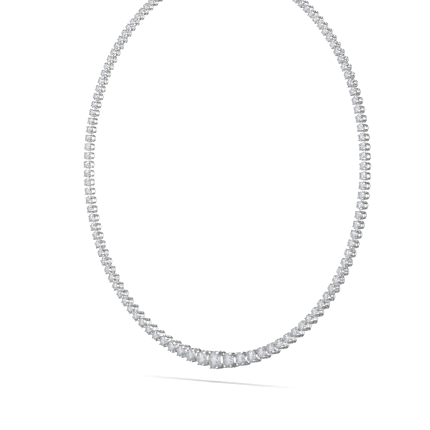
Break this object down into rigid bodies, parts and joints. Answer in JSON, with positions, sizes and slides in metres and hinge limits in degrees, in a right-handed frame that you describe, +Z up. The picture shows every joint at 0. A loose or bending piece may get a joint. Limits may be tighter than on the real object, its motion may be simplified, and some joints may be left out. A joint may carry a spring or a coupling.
{
  "type": "riviere necklace",
  "caption": "Riviere necklace: a closed ring of graduated round brilliants in open claw baskets, interlinked behind, with a plain barrel clasp at the top.",
  "frame": {"origin": "middle of the clasp's inner face, at the top of the ring, where the necklace hangs on the back of the neck", "axes": "+Z up along the ring's upright diameter, -Y the way the stones face, +X to the right as seen from in front"},
  "size_m": [0.1412, 0.0051, 0.1424],
  "materials": {
    "metal": "polished white metal",
    "stone": "colourless cut stone, polished facets"
  },
  "bodies": {
    "root": {"setting_left_9": "metal", "setting_left_8": "metal", "setting_left_7": "metal", "setting_left_6": "metal", "setting_left_5": "metal", "setting_left_4": "metal", "setting_left_3": "metal", "setting_left_2": "metal", "setting_left_1": "metal", "setting_centre": "metal", "setting_right_1": "metal", "setting_right_2": "metal", "setting_right_3": "metal", "setting_right_4": "metal", "setting_right_5": "metal", "setting_right_6": "metal", "setting_right_7": "metal", "setting_right_8": "metal", "setting_right_9": "metal", "settings_left": "metal", "settings_right": "metal", "clasp": "metal", "stone_left_9": "stone", "stone_left_8": "stone", "stone_left_7": "stone", "stone_left_6": "stone", "stone_left_5": "stone", "stone_left_4": "stone", "stone_left_3": "stone", "stone_left_2": "stone", "stone_left_1": "stone", "stone_centre": "stone", "stone_right_1": "stone", "stone_right_2": "stone", "stone_right_3": "stone", "stone_right_4": "stone", "stone_right_5": "stone", "stone_right_6": "stone", "stone_right_7": "stone", "stone_right_8": "stone", "stone_right_9": "stone", "stones_left": "stone", "stones_right": "stone"}
  },
  "joints": []
}
